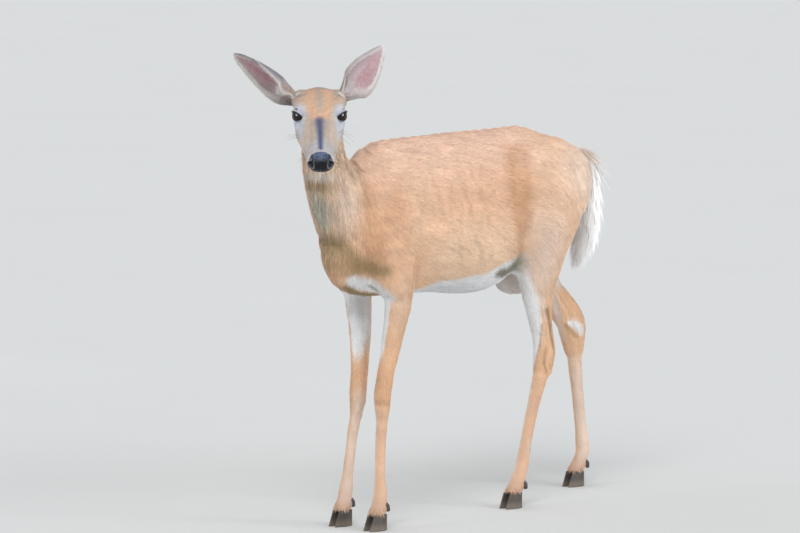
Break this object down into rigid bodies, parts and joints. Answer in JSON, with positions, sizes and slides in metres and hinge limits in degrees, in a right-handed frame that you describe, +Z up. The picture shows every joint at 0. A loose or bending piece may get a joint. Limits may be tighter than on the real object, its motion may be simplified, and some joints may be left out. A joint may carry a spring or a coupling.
{
  "type": "white-tailed deer",
  "caption": "Life-size white-tailed deer doe standing on all fours, neck upright, head turned to her left, ears spread and tail hanging.",
  "frame": {"origin": "on the floor, under the middle of the animal's bounding box", "axes": "+Z up, the body faces -Y, the animal's left side is +X"},
  "size_m": [0.329, 1.1674, 1.12],
  "materials": {
    "coat": "short summer hair, tan with white belly, throat and inner legs",
    "pale_coat": "long white hair",
    "ear_skin": "thin skin with short hair",
    "nose_skin": "moist black skin",
    "eye": "wet and glossy",
    "horn": "satin black horn"
  },
  "bodies": {
    "root": {"dewclaw_fore_left_inner": "horn", "dewclaw_fore_left_outer": "horn", "dewclaw_fore_right_inner": "horn", "dewclaw_fore_right_outer": "horn", "dewclaw_hind_left_inner": "horn", "dewclaw_hind_left_outer": "horn", "dewclaw_hind_right_inner": "horn", "dewclaw_hind_right_outer": "horn", "ear_left": "ear_skin", "ear_right": "ear_skin", "eye_left": "eye", "eye_right": "eye", "fore_leg_lower_left": "coat", "fore_leg_lower_right": "coat", "fore_leg_upper_left": "coat", "fore_leg_upper_right": "coat", "head": "coat", "hind_leg_lower_left": "coat", "hind_leg_lower_right": "coat", "hind_leg_upper_left": "coat", "hind_leg_upper_right": "coat", "hoof_fore_left_inner": "horn", "hoof_fore_left_outer": "horn", "hoof_fore_right_inner": "horn", "hoof_fore_right_outer": "horn", "hoof_hind_left_inner": "horn", "hoof_hind_left_outer": "horn", "hoof_hind_right_inner": "horn", "hoof_hind_right_outer": "horn", "lower_jaw": "coat", "neck": "coat", "nose": "nose_skin", "tail": "pale_coat", "trunk": "coat"}
  },
  "joints": []
}
